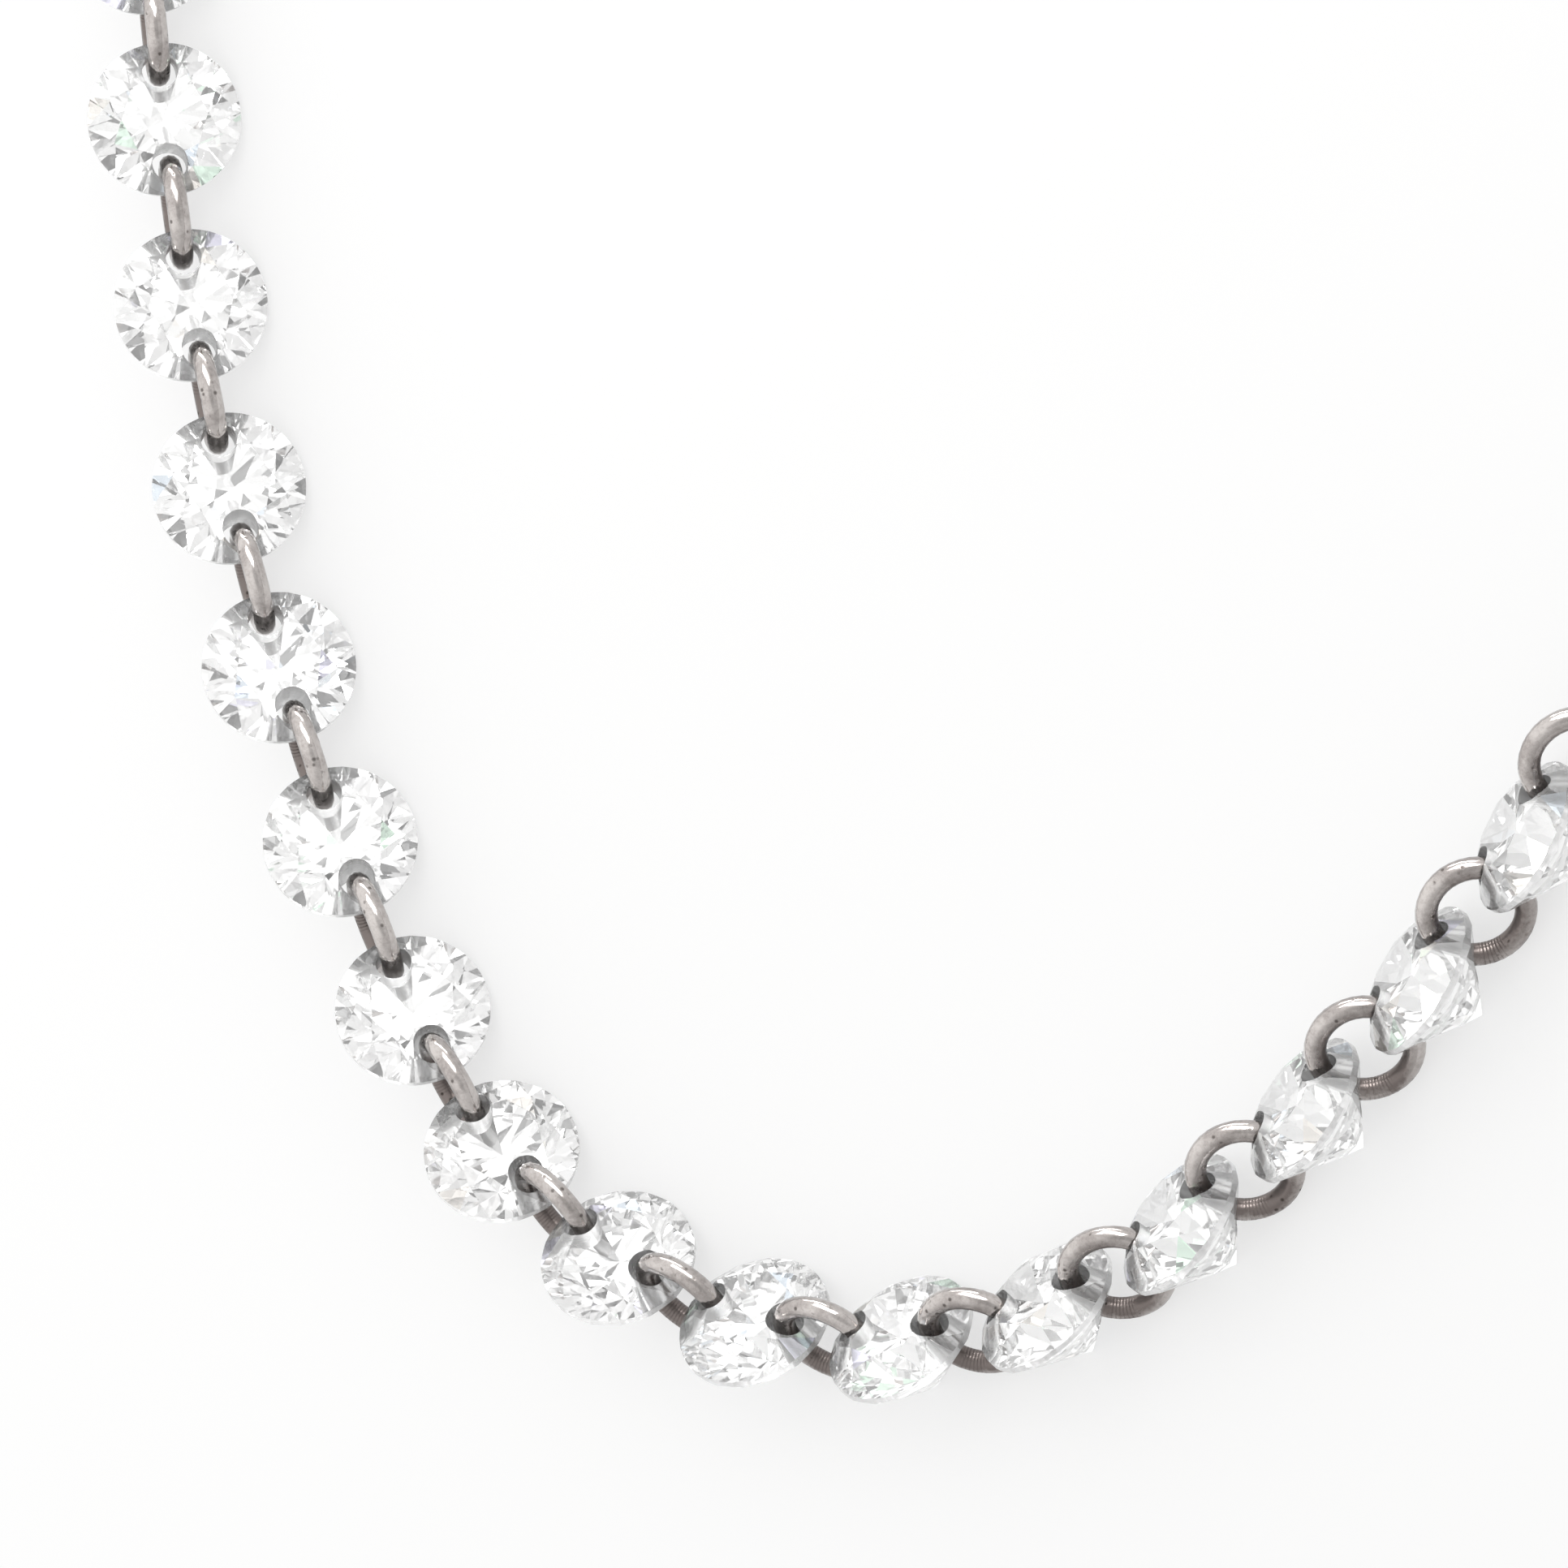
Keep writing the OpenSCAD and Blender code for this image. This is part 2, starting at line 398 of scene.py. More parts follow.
ring = bmesh.new()
bmesh.ops.create_circle(ring, segments=WIRE_SIDES, radius=wire_r, matrix=Matrix.Translation((ring_r, 0, 0)))
bmesh.ops.spin(
    ring, geom=ring.verts[:] + ring.edges[:], cent=(0, 0, 0), axis=(0, 1, 0), angle=math.tau,
    steps=RING_STEPS, use_merge=True,
)
bmesh.ops.remove_doubles(ring, verts=ring.verts, dist=MERGE_DISTANCE)
bmesh.ops.recalc_face_normals(ring, faces=ring.faces)
for face in ring.faces:
    face.smooth = True
print("ring:", len(ring.faces), "faces")

# %% Unrolling the wire


def turns(co):
    """How far round the ring and round the wire a point is, in turns: 0 to 1, and -0.5 to 0.5 from outside."""
    along = math.atan2(co.z, co.x) / math.tau % 1
    around = math.atan2(co.y, math.hypot(co.x, co.z) - ring_r) / math.tau
    return Vector((along, around))


unrolled = ring.loops.layers.uv.new("unrolled wire")
for face in ring.faces:
    centre = turns(face.calc_center_median())
    for loop in face.loops:
        own = turns(loop.vert.co)
        loop[unrolled].uv = [v - round(v - c) for v, c in zip(own, centre)]
rings = repeat("rings", ring, ring_places)
print("all the rings:", len(rings.data.polygons), "faces")

# %% [markdown]
# ## The clasp
#
# The photograph doesn't show how the string closes, so the hidden far stretch has one plain clasp: a turned
# barrel with a flat eye at each end, which takes the room of three stones. The barrel is a profile spun
# about its axis, with its corners rounded beforehand by a bevel on the profile's own points. Each eye is a
# circle, pulled out to a slot shape, thickened and drilled. Booleans join them to one closed piece.

# %% The barrel
BARREL_LENGTH = 7.2
GROOVE_WIDTH, GROOVE_DEPTH = 0.3, 0.12
END_SHARE = 0.55
CORNER_RADIUS, CORNER_STEPS = 0.05, 3
BARREL_STEPS, BARREL_MERGE = 48, 1e-3

barrel_r = rest_z + ring_z * math.cos(lean)
shoulder = BARREL_LENGTH / 2 - barrel_r / 2
groove_end, groove_start = shoulder - GROOVE_WIDTH, shoulder - 2 * GROOVE_WIDTH
half_profile = [
    (groove_start, barrel_r), (groove_start, barrel_r - GROOVE_DEPTH),
    (groove_end, barrel_r - GROOVE_DEPTH), (groove_end, barrel_r),
    (shoulder, barrel_r), (BARREL_LENGTH / 2, barrel_r * END_SHARE), (BARREL_LENGTH / 2, 0),
]
profile = [(-x, r) for x, r in reversed(half_profile)] + half_profile
barrel = bmesh.new()
points = [barrel.verts.new((x, 0, r)) for x, r in profile]
for a, b in zip(points, points[1:]):
    barrel.edges.new((a, b))
bmesh.ops.bevel(
    barrel, geom=points[1:-1], affect="VERTICES", offset=CORNER_RADIUS, segments=CORNER_STEPS,
    profile=0.5, material=-1,
)
bmesh.ops.spin(
    barrel, geom=barrel.verts[:] + barrel.edges[:], cent=(0, 0, 0), axis=(1, 0, 0), angle=math.tau,
    steps=BARREL_STEPS, use_merge=True,
)
bmesh.ops.remove_doubles(barrel, verts=barrel.verts, dist=BARREL_MERGE)
bmesh.ops.recalc_face_normals(barrel, faces=barrel.faces)
print("barrel:", len(barrel.faces), "faces, open edges:", sum(e.is_boundary for e in barrel.edges))

# %% The eyes, and the whole clasp
EYE_THICKNESS, EYE_SIDES = 0.5, 32
INWARD_SHARE = 0.6
RIM_RADIUS, RIM_STEPS = 0.06, 2
SHARP_ANGLE = 35

eye_r = hole_r + girdle_r - nub_x
eyes, eye_drill = bmesh.new(), bmesh.new()
for side in (-1, 1):
    disc = bmesh.ops.create_circle(
        eyes, cap_ends=True, segments=EYE_SIDES, radius=eye_r,
        matrix=Matrix.Translation((side * clasp_reach, 0, -EYE_THICKNESS / 2)),
    )["verts"]
    inner = [v for v in disc if side * (v.co.x - side * clasp_reach) < -MERGE_DISTANCE]
    bmesh.ops.translate(eyes, verts=inner, vec=(-side * clasp_reach * INWARD_SHARE, 0, 0))
    bmesh.ops.create_cone(
        eye_drill, cap_ends=True, segments=HOLE_SIDES, radius1=hole_r, radius2=hole_r, depth=BLANK_DEPTH / 2,
        matrix=Matrix.Translation((side * clasp_reach, 0, 0)),
    )
thick = bmesh.ops.extrude_face_region(eyes, geom=eyes.faces[:])["geom"]
raised = [v for v in thick if isinstance(v, bmesh.types.BMVert)]
bmesh.ops.translate(eyes, verts=raised, vec=(0, 0, EYE_THICKNESS))
bmesh.ops.recalc_face_normals(eyes, faces=eyes.faces)
rims = [e for e in eyes.edges if abs(e.verts[0].co.z - e.verts[1].co.z) < CUT_TOLERANCE]
bmesh.ops.bevel(
    eyes, geom=rims, affect="EDGES", offset=RIM_RADIUS, segments=RIM_STEPS, profile=0.5, material=-1
)
clasp = booleans(
    mesh_object("eyes", eyes),
    [("DIFFERENCE", mesh_object("eye_drill", eye_drill)), ("UNION", mesh_object("barrel", barrel))],
)
for face in clasp.faces:
    face.smooth = True
for edge in clasp.edges:
    edge.smooth = edge.is_manifold and edge.calc_face_angle(0) < math.radians(SHARP_ANGLE)
print("clasp:", len(clasp.faces), "faces, open edges:", sum(e.is_boundary for e in clasp.edges))
clasp_piece = repeat("barrel_clasp", clasp, [clasp_at])

# %% [markdown]
# ## Worn white gold
#
# The metal is grey and slightly brown: bright on the outer curves, and darker and duller inside the rings
# and on their lower arcs, where the darker colour is painted shade. It has small pits, painted dark as shade
# in them, and fine lines along the wire. All the metal shares these effects, so they are built once as a node
# group. It gives out a colour, a roughness and a height, and leaves the shader itself to each material. It
# reads Object coordinates for the patches and the pits, so that no two rings look alike. What belongs to one
# kind of piece is handed in: where it is darker and rougher, which on the rings is painted shade, which way
# its lines run and, for the rings, the ridges that a tool has left.
#
# Nodes are wordy in code, because each is made, set and linked on lines of its own. A few helpers do all
# three at once. Most of what runs through the nodes is a mask, and a mask is only of use between 0 and 1, so
# the helpers that multiply and add masks clamp their result.

# %% Helpers for nodes


def node(tree, kind, settings=None, **inputs):
    """A new shader node with its settings and inputs. An input may be a value or another node's output."""
    new = tree.nodes.new("ShaderNode" + kind)
    for setting, value in (settings or {}).items():
        setattr(new, setting, value)
    for socket, value in inputs.items():
        socket = int(socket[1:]) if socket[0] == "_" else socket.replace("_", " ")
        if isinstance(value, bpy.types.NodeSocket):
            tree.links.new(value, new.inputs[socket])
        else:
            new.inputs[socket].default_value = value
    return new


def ramp(tree, value, low, high, to_low=0.0, to_high=1.0):
    """The value mapped smoothly from one range to another."""
    settings = {"interpolation_type": "SMOOTHSTEP"}
    spread = {"From_Min": low, "From_Max": high, "To_Min": to_low, "To_Max": to_high}
    return node(tree, "MapRange", settings, Value=value, **spread).outputs["Result"]


# %% Helpers for masks and colours


def calculate(tree, operation, *values, clamp=False):
    """The result of a Math node. Clamped, it stays between 0 and 1."""
    inputs = {f"_{i}": value for i, value in enumerate(values)}
    return node(tree, "Math", {"operation": operation, "use_clamp": clamp}, **inputs).outputs[0]


def times(tree, a, b):
    """Two masks multiplied, kept between 0 and 1."""
    return calculate(tree, "MULTIPLY", a, b, clamp=True)


def plus(tree, a, b):
    """Two masks added, kept between 0 and 1."""
    return calculate(tree, "ADD", a, b, clamp=True)


def noise(tree, place, scale, detail, roughness=0.5):
    """The value of a noise pattern."""
    return node(tree, "TexNoise", Vector=place, Scale=scale, Detail=detail, Roughness=roughness).outputs["Fac"]


def mixed(tree, share, first, second):
    """The first colour, with a share of the second in it."""
    return node(tree, "Mix", {"data_type": "RGBA"}, _0=share, _6=first, _7=second).outputs[2]


# %% A helper for node groups


def new_group(name, inputs, outputs):
    """An empty shader node group, with its input and output nodes."""
    tree = bpy.data.node_groups.new(name, "ShaderNodeTree")
    for direction, sockets in (("INPUT", inputs), ("OUTPUT", outputs)):
        for socket, kind in sockets.items():
            tree.interface.new_socket(socket, in_out=direction, socket_type="NodeSocket" + kind)
    return tree, tree.nodes.new("NodeGroupInput"), tree.nodes.new("NodeGroupOutput")


# %% The group for worn and shaded metal, and its patterns
# Of each noise: its scale per metre, its detail and its roughness. Lines come already scaled.
CLOUD, GRAIN, LINES, PITTED = (1300, 5, 0.62), (9000, 3, 0.7), (1, 3, 0.6), (2300, 1)
PIT_SCALE = 4200
CLOUD_RANGE, PIT_RANGE, PITTED_RANGE = (0.38, 0.66), (0.1, 0.26, 1, 0), (0.45, 0.52)

# The dull colour and the dullness handed in carry painted shade on the rings, and the clasp's even dull tone.
metal_inputs = {
    "Bright Color": "Color", "Dull Color": "Color", "Dullness": "Float", "Wear": "Float",
    "Lines": "Vector", "Ridges": "Float",
}
metal_outputs = {"Color": "Color", "Roughness": "Float", "Height": "Float"}
worn_and_shaded_metal, given, gives = new_group("worn metal", metal_inputs, metal_outputs)

tree = worn_and_shaded_metal
place, wear = node(tree, "TexCoord").outputs["Object"], given.outputs["Wear"]
cloud, grain = noise(tree, place, *CLOUD), noise(tree, place, *GRAIN)
lines = noise(tree, given.outputs["Lines"], *LINES)
spots = node(tree, "TexVoronoi", Vector=place, Scale=PIT_SCALE).outputs["Distance"]
pitted_areas = ramp(tree, noise(tree, place, *PITTED), *PITTED_RANGE)
patches = times(tree, ramp(tree, cloud, *CLOUD_RANGE), wear)
pits = times(tree, times(tree, ramp(tree, spots, *PIT_RANGE), pitted_areas), wear)
print("worn metal takes", ", ".join(metal_inputs))

# %% Colour of worn metal, with its painted shade
PATCH_DULLNESS, SPECKLE_DULLNESS = 0.45, 0.2
SPECKLE_RANGE = (0.4, 0.7)
PIT_SHADE_COLOUR, PIT_SHADE_SHARE = (0.05, 0.04, 0.035, 1), 0.75

# The darker colour marks painted shade where a piece hands it in, worn patches and fine specks.
shade_and_wear = plus(tree, given.outputs["Dullness"], times(tree, patches, PATCH_DULLNESS))
shade_and_wear = plus(tree, shade_and_wear, times(tree, ramp(tree, grain, *SPECKLE_RANGE), SPECKLE_DULLNESS))
worn_and_shaded_colour = mixed(tree, shade_and_wear, given.outputs["Bright Color"], given.outputs["Dull Color"])
# The pits are painted dark, as shade in them.
pit_shaded_colour = mixed(tree, times(tree, pits, PIT_SHADE_SHARE), worn_and_shaded_colour, PIT_SHADE_COLOUR)
tree.links.new(pit_shaded_colour, gives.inputs["Color"])

# %% Roughness and height of worn metal
SMOOTHEST, ROUGHEST = 0.04, 0.32
PIT_ROUGHNESS, RIDGE_ROUGHNESS = 0.3, 0.5
LINE_HEIGHT, GRAIN_HEIGHT, PIT_DEPTH = 0.5, 0.25, 0.5

rough = ramp(tree, shade_and_wear, 0, 1, SMOOTHEST, ROUGHEST)
rough = plus(tree, rough, times(tree, pits, PIT_ROUGHNESS))
rough = plus(tree, rough, times(tree, given.outputs["Ridges"], RIDGE_ROUGHNESS))
tree.links.new(rough, gives.inputs["Roughness"])

relief = plus(tree, times(tree, lines, LINE_HEIGHT), times(tree, grain, GRAIN_HEIGHT))
sunken = calculate(tree, "SUBTRACT", relief, times(tree, pits, PIT_DEPTH), clamp=True)
tree.links.new(calculate(tree, "ADD", sunken, given.outputs["Ridges"]), gives.inputs["Height"])
print("worn metal:", len(worn_and_shaded_metal.nodes), "nodes")

# %% [markdown]
# The rings take the lines from their unrolled wire, stretched along it. V tells the inner side from the
# outer one, and U tells the lower arc. Both are made rougher and painted darker, and the darker colour is
# painted shade, where the ring shades itself and the stones shade it. Next to the stone the lower arc also
# carries a short row of fine ridges, where the pliers held the wire. They are a sine along U, stronger on
# some rings than on others. The clasp's lines run round its barrel, as a lathe leaves them, so they follow
# its own length.

# %% Laying white gold on
BRIGHT_GOLD = (0.55, 0.517, 0.499, 1)
# The darker gold is the painted shade of the rings and the colour of worn patches.
SHADE_AND_WEAR_GOLD = (0.18, 0.155, 0.146, 1)
METAL_RELIEF = 5e-6


def new_material(name, **values):
    """A material with its Principled shader, whose sockets get the values. It returns all three."""
    material = bpy.data.materials.new(name)
    material.use_nodes = True
    shader = material.node_tree.nodes["Principled BSDF"]
    for socket, value in values.items():
        shader.inputs[socket.replace("_", " ")].default_value = value
    return material, material.node_tree, shader


def gild(tree, shader, **given):
    """Joins the worn metal group, which also paints shade, with the inputs given, and a bump to a material's
    shader.
    """
    golds = {"Bright_Color": BRIGHT_GOLD, "Dull_Color": SHADE_AND_WEAR_GOLD}
    worn = node(tree, "Group", {"node_tree": worn_and_shaded_metal}, **golds, **given)
    bump = node(tree, "Bump", Strength=1.0, Distance=METAL_RELIEF, Height=worn.outputs["Height"])
    tree.links.new(worn.outputs["Color"], shader.inputs["Base Color"])
    tree.links.new(worn.outputs["Roughness"], shader.inputs["Roughness"])
    tree.links.new(bump.outputs["Normal"], shader.inputs["Normal"])


print("white gold: bright", BRIGHT_GOLD[:3], "and dull", SHADE_AND_WEAR_GOLD[:3])

# %% White gold wire, painted darker inside and below as shade, and rougher there
SHADED_INNER_SIDE = (0.13, 0.42, 0, 0.65)
SHADED_ARC_BEGINS, SHADED_ARC_ENDS, ARC_SHADE = (0.5, 0.6), (0.72, 0.9, 1, 0), 0.4

ring_gold, tree, shader = new_material("white gold wire", Metallic=1)
wire_uv = node(tree, "UVMap", {"uv_map": "unrolled wire"}).outputs["UV"]
unrolled_wire = node(tree, "SeparateXYZ", Vector=wire_uv)
along, around = unrolled_wire.outputs["X"], unrolled_wire.outputs["Y"]
# The inner side and the lower arc are painted darker, as shade, and are rougher.
shaded_inner_side = ramp(tree, calculate(tree, "ABSOLUTE", around), *SHADED_INNER_SIDE)
shaded_lower_arc = times(tree, ramp(tree, along, *SHADED_ARC_BEGINS), ramp(tree, along, *SHADED_ARC_ENDS))
shade_and_dullness = plus(tree, shaded_inner_side, times(tree, shaded_lower_arc, ARC_SHADE))

# %% Ridges and lines of the wire
RIDGES = 75
HELD_BEGINS, HELD_ENDS = (0.59, 0.62), (0.68, 0.72, 1, 0)
STRENGTH, STRENGTH_RANGE = (160, 1), (0.4, 0.62, 0.6, 0.95)
LINES_OF_WIRE = (7, 34, 1)
RING_WEAR = 1.0

held = times(tree, ramp(tree, along, *HELD_BEGINS), ramp(tree, along, *HELD_ENDS))
place = node(tree, "TexCoord").outputs["Object"]
held = times(tree, held, ramp(tree, noise(tree, place, *STRENGTH), *STRENGTH_RANGE))
phase = calculate(tree, "MULTIPLY", along, RIDGES * math.tau)
ridges = times(tree, held, calculate(tree, "SINE", phase))
wire_lines = node(tree, "Mapping", Vector=wire_uv, Scale=LINES_OF_WIRE).outputs["Vector"]
gild(tree, shader, Dullness=shade_and_dullness, Wear=RING_WEAR, Lines=wire_lines, Ridges=ridges)
rings.data.materials.append(ring_gold)
print("white gold on", rings.name + ":", len(tree.nodes), "nodes")

# %% White gold of the clasp
CLASP_WEAR, CLASP_DULLNESS = 0.4, 0.2
LINES_OF_LATHE = (22, 0.6, 0.6)

clasp_gold, tree, shader = new_material("white gold clasp", Metallic=1)
own_place = node(tree, "Attribute", {"attribute_name": "own place"}).outputs["Vector"]
turned_lines = node(tree, "Mapping", Vector=own_place, Scale=LINES_OF_LATHE).outputs["Vector"]
gild(tree, shader, Dullness=CLASP_DULLNESS, Wear=CLASP_WEAR, Lines=turned_lines)
clasp_piece.data.materials.append(clasp_gold)
print("white gold on", clasp_piece.name + ":", len(tree.nodes), "nodes")

# %% [markdown]
# ## Diamond
#
# Diamond is clear glass with a refractive index of 2.42. The polished facets carry the thin film that any
# worn stone has, as a little roughness in soft patches, and the tints of the fire. Where the stone was
# drilled or turned it is left frosted: it bends light less cleanly and part of it is simply white or grey
# at the surface. It is pale at the girdle and dark grey in the holes, where the grey is painted shade and a
# painted reflection of the wire through them, and where the drill has also left faint grooves.
# How far a point lies from the stone's own axis tells the two apart.

# %% The group for a stone's skin
HAZE, GROOVE, DUST_SCALE = (650, 3), (1, 2), 2600
HAZE_RANGE, DUST_RANGE = (0.45, 0.7), (0.05, 0.11, 1, 0)
GROOVES = (0.8, 0.8, 14)

skin_outputs = {"Film": "Float", "Specks": "Float", "Height": "Float"}
stone_skin, given, gives = new_group("stone skin", {"Grooves": "Vector"}, skin_outputs)
place = node(stone_skin, "TexCoord").outputs["Object"]
haze = noise(stone_skin, place, *HAZE)
dust = node(stone_skin, "TexVoronoi", Vector=place, Scale=DUST_SCALE).outputs["Distance"]
stone_skin.links.new(ramp(stone_skin, haze, *HAZE_RANGE), gives.inputs["Film"])
stone_skin.links.new(ramp(stone_skin, dust, *DUST_RANGE), gives.inputs["Specks"])
stone_skin.links.new(noise(stone_skin, given.outputs["Grooves"], *GROOVE), gives.inputs["Height"])
print("stone skin:", len(stone_skin.nodes), "nodes")


def skin(tree):
    """The stone skin group in a material, and the place of each point within its stone."""
    own = node(tree, "Attribute", {"attribute_name": "own place"}).outputs["Vector"]
    grooves = node(tree, "Mapping", Vector=own, Scale=GROOVES).outputs["Vector"]
    return node(tree, "Group", {"node_tree": stone_skin}, Grooves=grooves), own


# %% Polished diamond
DIAMOND_IOR = 2.42
DUST_COLOUR, DUST_SHARE = (0.6, 0.57, 0.56, 1), 0.35
FILM_ROUGHNESS = 0.02

polished_stone, tree, shader = new_material("polished diamond", IOR=DIAMOND_IOR, Transmission_Weight=1)
worn, own = skin(tree)
tint = node(tree, "Attribute", {"attribute_name": "fire"}).outputs["Color"]
dusty = mixed(tree, times(tree, worn.outputs["Specks"], DUST_SHARE), tint, DUST_COLOUR)
tree.links.new(dusty, shader.inputs["Base Color"])
tree.links.new(ramp(tree, worn.outputs["Film"], 0, 1, 0, FILM_ROUGHNESS), shader.inputs["Roughness"])
diamonds.data.materials.append(polished_stone)
print("polished diamond:", len(tree.nodes), "nodes")

# %% Frosted diamond
FROSTED_TRANSMISSION = 0.78
HOLE_SHADE_COLOUR, GIRDLE_COLOUR = (0.31, 0.31, 0.31, 1), (0.92, 0.92, 0.92, 1)
HOLE_ROUGHNESS, GIRDLE_ROUGHNESS, FILM_ON_FROST = 0.24, 0.16, 0.1
GIRDLE_RANGE = (nub_x + 0.05, girdle_r - 0.08)
DRILL_RELIEF = 6e-6

frosted_stone, tree, shader = new_material(
    "frosted diamond", IOR=DIAMOND_IOR, Transmission_Weight=FROSTED_TRANSMISSION
)
worn, own = skin(tree)
flat = node(tree, "VectorMath", {"operation": "MULTIPLY"}, _0=own, _1=(1, 1, 0)).outputs["Vector"]
from_axis = node(tree, "VectorMath", {"operation": "LENGTH"}, _0=flat).outputs["Value"]
at_girdle = ramp(tree, from_axis, *GIRDLE_RANGE)
# The dark grey of the holes is painted shade and a painted reflection of the wire; the girdle's pale tone is
# its frosted skin.
tree.links.new(mixed(tree, at_girdle, HOLE_SHADE_COLOUR, GIRDLE_COLOUR), shader.inputs["Base Color"])
ground = ramp(tree, at_girdle, 0, 1, HOLE_ROUGHNESS, GIRDLE_ROUGHNESS)
ground = plus(tree, ground, times(tree, worn.outputs["Film"], FILM_ON_FROST))
tree.links.new(ground, shader.inputs["Roughness"])
bump = node(tree, "Bump", Strength=1.0, Distance=DRILL_RELIEF, Height=worn.outputs["Height"])
tree.links.new(bump.outputs["Normal"], shader.inputs["Normal"])
diamonds.data.materials.append(frosted_stone)
print("frosted diamond:", len(tree.nodes), "nodes")

# %% [markdown]
# ## The table
#
# The necklace lies on a sheet of white acrylic that is lit from below as well as from above, which is why
# its shadows are so faint. A matt pale surface that also glows a little does the same. In the photograph the
# sheet is very slightly greyer towards the front and the right, so its glow fades that way. The fading is
# spread over 14 cm, far more than the picture shows, so that no edge shows from anywhere.

# %% Floor
FLOOR_REACH = 3
SHEET_COLOUR, SHEET_ROUGHNESS, SHEET_SPECULAR = (0.31, 0.31, 0.311, 1), 0.8, 0.1
GLOW, FULL_GLOW, FADED_GLOW = 0.7, (1, 1, 1, 1), (0.84, 0.84, 0.837, 1)
FADING_AIM, FADING_RANGE = (0.5, -0.87, 0), (-0.03, 0.11)

sheet = bmesh.new()
bmesh.ops.create_grid(sheet, x_segments=1, y_segments=1, size=FLOOR_REACH)
floor = mesh_object("floor", sheet)
acrylic, tree, shader = new_material(
    "lit acrylic", Base_Color=SHEET_COLOUR, Roughness=SHEET_ROUGHNESS, Specular_IOR_Level=SHEET_SPECULAR,
    Emission_Strength=GLOW,
)
place = node(tree, "TexCoord").outputs["Object"]
towards_front = node(tree, "VectorMath", {"operation": "DOT_PRODUCT"}, _0=place, _1=FADING_AIM).outputs["Value"]
lit = mixed(tree, ramp(tree, towards_front, *FADING_RANGE), FULL_GLOW, FADED_GLOW)
tree.links.new(lit, shader.inputs["Emission Color"])
floor.data.materials.append(acrylic)
print("floor:", [round(v, 2) for v in floor.dimensions], "m")

# %% [markdown]
# ## Light
#
# Clear stones look like what surrounds them, so most of their look is made here. A white tent all round makes
# them pale. It is brightest at the far left and has one soft grey patch, where the camera looks in. Inside
# the tent hang five dark cards. They give the facets their grey lines, as the black cards do that are used
# for photographs of clear glass. Only rays that leave a stone see them: the picture shows no dark reflection
# of them on the metal or on the sheet. How high they hang and how wide they are decides how grey a stone is.

# %% White tent, its glow and its grey patch
TENT_COLOUR = (1, 0.998, 0.992, 1)
TENT_DIM, TENT_BRIGHT = 0.8, 1.35
BRIGHT_AIM, BRIGHT_RANGE = (135, 40), (-0.5, 0.9)
PATCH_INNER, PATCH_OUTER, PATCH_SHADE = 8, 30, 0.7

world = bpy.data.worlds.new("white tent")
bpy.context.scene.world = world
world.use_nodes = True
tent = world.node_tree
direction = node(tent, "TexCoord").outputs["Generated"]


def towards(azimuth, elevation):
    """The direction at an azimuth and an elevation in degrees."""
    az, el = math.radians(azimuth), math.radians(elevation)
    return Vector((math.cos(az) * math.cos(el), math.sin(az) * math.cos(el), math.sin(el)))


def facing(aim):
    """How nearly each direction of the tent is the one given, as the cosine between them."""
    return node(tent, "VectorMath", {"operation": "DOT_PRODUCT"}, _0=direction, _1=aim).outputs["Value"]


glow = ramp(tent, facing(towards(*BRIGHT_AIM)), *BRIGHT_RANGE, TENT_DIM, TENT_BRIGHT)
patch_edge, patch_core = math.cos(math.radians(PATCH_OUTER)), math.cos(math.radians(PATCH_INNER))
patch = ramp(tent, facing(towards(0, CAMERA_ELEVATION)), patch_edge, patch_core, 1, PATCH_SHADE)
print("tent: from", TENT_DIM, "to", TENT_BRIGHT, "times white")

# %% The dark cards in the tent
CARDS, FIRST_CARD, CARD_SHADE = 5, 25, 0.15
CARD_EDGE, CARD_CORE = 0.66, 0.8
CARD_TOP = (0.8, 0.9, 1, 0)

compass = node(tent, "SeparateXYZ", Vector=direction)
east, north, up = (compass.outputs[axis] for axis in "XYZ")
azimuth = calculate(tent, "ARCTAN2", north, east)
turned = calculate(tent, "MULTIPLY_ADD", azimuth, CARDS, -math.radians(CARDS * FIRST_CARD))
upright = ramp(tent, calculate(tent, "COSINE", turned), CARD_EDGE, CARD_CORE)
cards = times(tent, upright, ramp(tent, up, *CARD_TOP))
seen = times(tent, node(tent, "LightPath").outputs["Is Transmission Ray"], cards)
card_shade = ramp(tent, seen, 0, 1, 1, CARD_SHADE)

background = tent.nodes["Background"]
background.inputs["Color"].default_value = TENT_COLOUR
shade = calculate(tent, "MULTIPLY", card_shade, patch)
tent.links.new(calculate(tent, "MULTIPLY", glow, shade), background.inputs["Strength"])
print("tent:", len(tent.nodes), "nodes,", CARDS, "cards")

# %% [markdown]
# The lamps are the second half of the light. Small bright ones make the stones sparkle. A broad weak one is
# mirrored in the tables of the left stones and washes them white, while their rims stay grey. One more, like
# a window, lights the crowns of the right ones. All of these are linked to the stones alone, because on the
# rings they would leave a row of dots. The rings have two of their own: a broad softbox at the far side, a
# little to the right, for the one white streak on each, and a low strip light beside it for the thin second
# line above the streak. Their directions were worked out by following rays from the camera to the streaks in
# the photograph and off the wire. A lamp's brightness here is its radiance, which stays the same when its
# size is changed.

# %% Hanging a lamp
LAMP_DISTANCE = 0.7


def lamp(name, azimuth, elevation, width, height, brightness, only):
    """A lamp aimed at the middle. Its brightness is how many times brighter than white it looks."""
    data = bpy.data.lights.new(name, "AREA")
    data.shape, data.size, data.size_y = "RECTANGLE", width, height
    data.energy = brightness * math.pi * width * height
    new = bpy.data.objects.new(name, data)
    new.location = LAMP_DISTANCE * towards(azimuth, elevation)
    new.rotation_euler = (-new.location).to_track_quat("-Z", "Y").to_euler()
    new.visible_camera = False
    new.light_linking.receiver_collection = only
    bpy.context.scene.collection.objects.link(new)


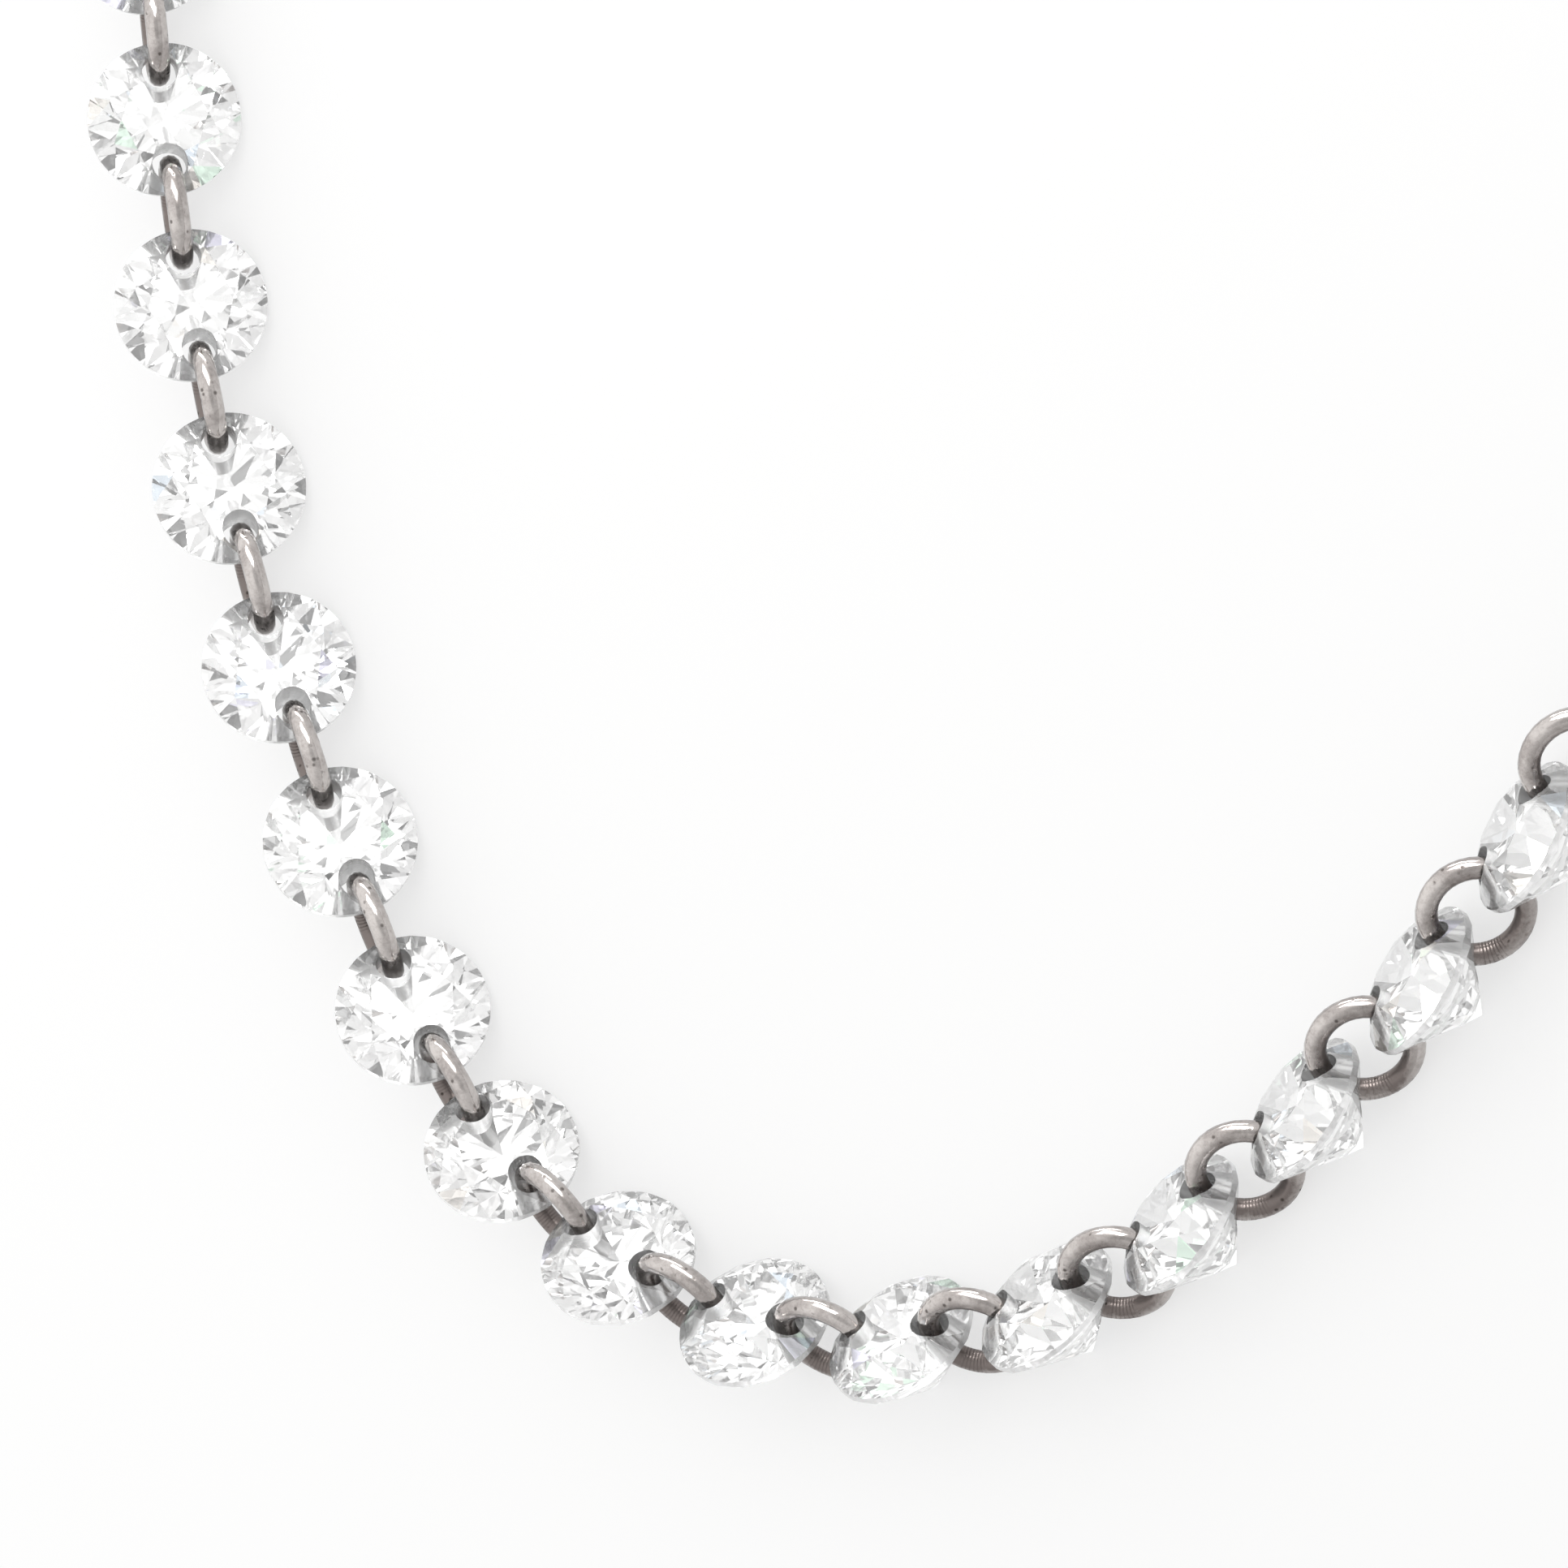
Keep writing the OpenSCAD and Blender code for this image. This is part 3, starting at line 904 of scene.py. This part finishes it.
# %% All the lamps
# Of each: azimuth and elevation in degrees, width and height in metres, brightness.
METAL_LAMPS = {"softbox": (72, 47, 0.66, 0.32, 8), "strip": (105, 8, 0.6, 0.06, 14)}
STONE_LAMPS = {"window": (-42, 48, 0.16, 0.16, 6), "veil": (38, 43, 0.5, 0.32, 0.9)}
SPARKLES = [(105, 45), (170, 60), (250, 70), (215, 30), (-60, 50), (30, 25), (10, 80), (-20, 30), (60, 60)]
SPARKLE_SIZE, SPARKLE_BRIGHTNESS = 0.06, 22

stones_only, metal_only = bpy.data.collections.new("stones only"), bpy.data.collections.new("metal only")
stones_only.objects.link(diamonds)
for piece in (rings, clasp_piece):
    metal_only.objects.link(piece)
for name, values in METAL_LAMPS.items():
    lamp(name, *values, only=metal_only)
for name, values in STONE_LAMPS.items():
    lamp(name, *values, only=stones_only)
for i, aim in enumerate(SPARKLES):
    lamp(f"sparkle{i}", *aim, SPARKLE_SIZE, SPARKLE_SIZE, SPARKLE_BRIGHTNESS, only=stones_only)
print(len(METAL_LAMPS), "lamps for the metal,", len(STONE_LAMPS) + len(SPARKLES), "for the stones")

# %% [markdown]
# ## How the picture is developed
#
# Light takes many turns inside a brilliant before it comes out, so the number of bounces is raised, or its
# deep facets would go black. The plain Standard view keeps the white floor white.

# %% Bounces and view
BOUNCES, GLOSSY_BOUNCES = 32, 16

bpy.context.scene.view_settings.view_transform = "Standard"
cycles = bpy.context.scene.cycles
cycles.max_bounces = cycles.transmission_bounces = BOUNCES
cycles.glossy_bounces = GLOSSY_BOUNCES
print("a ray may turn", BOUNCES, "times")

# %% [markdown]
# ## Handing over
#
# Each new piece rides on the one body of the frame and stands for its solid, which is hidden.

# %% Rides and solids
parts_of_record = (
    (diamonds, "diamonds", "diamond"),
    (rings, "jump_rings", "white_gold"),
    (clasp_piece, "clasp", "white_gold"),
)
for piece, solid, slot in parts_of_record:
    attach(piece, "root")
    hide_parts(solid)
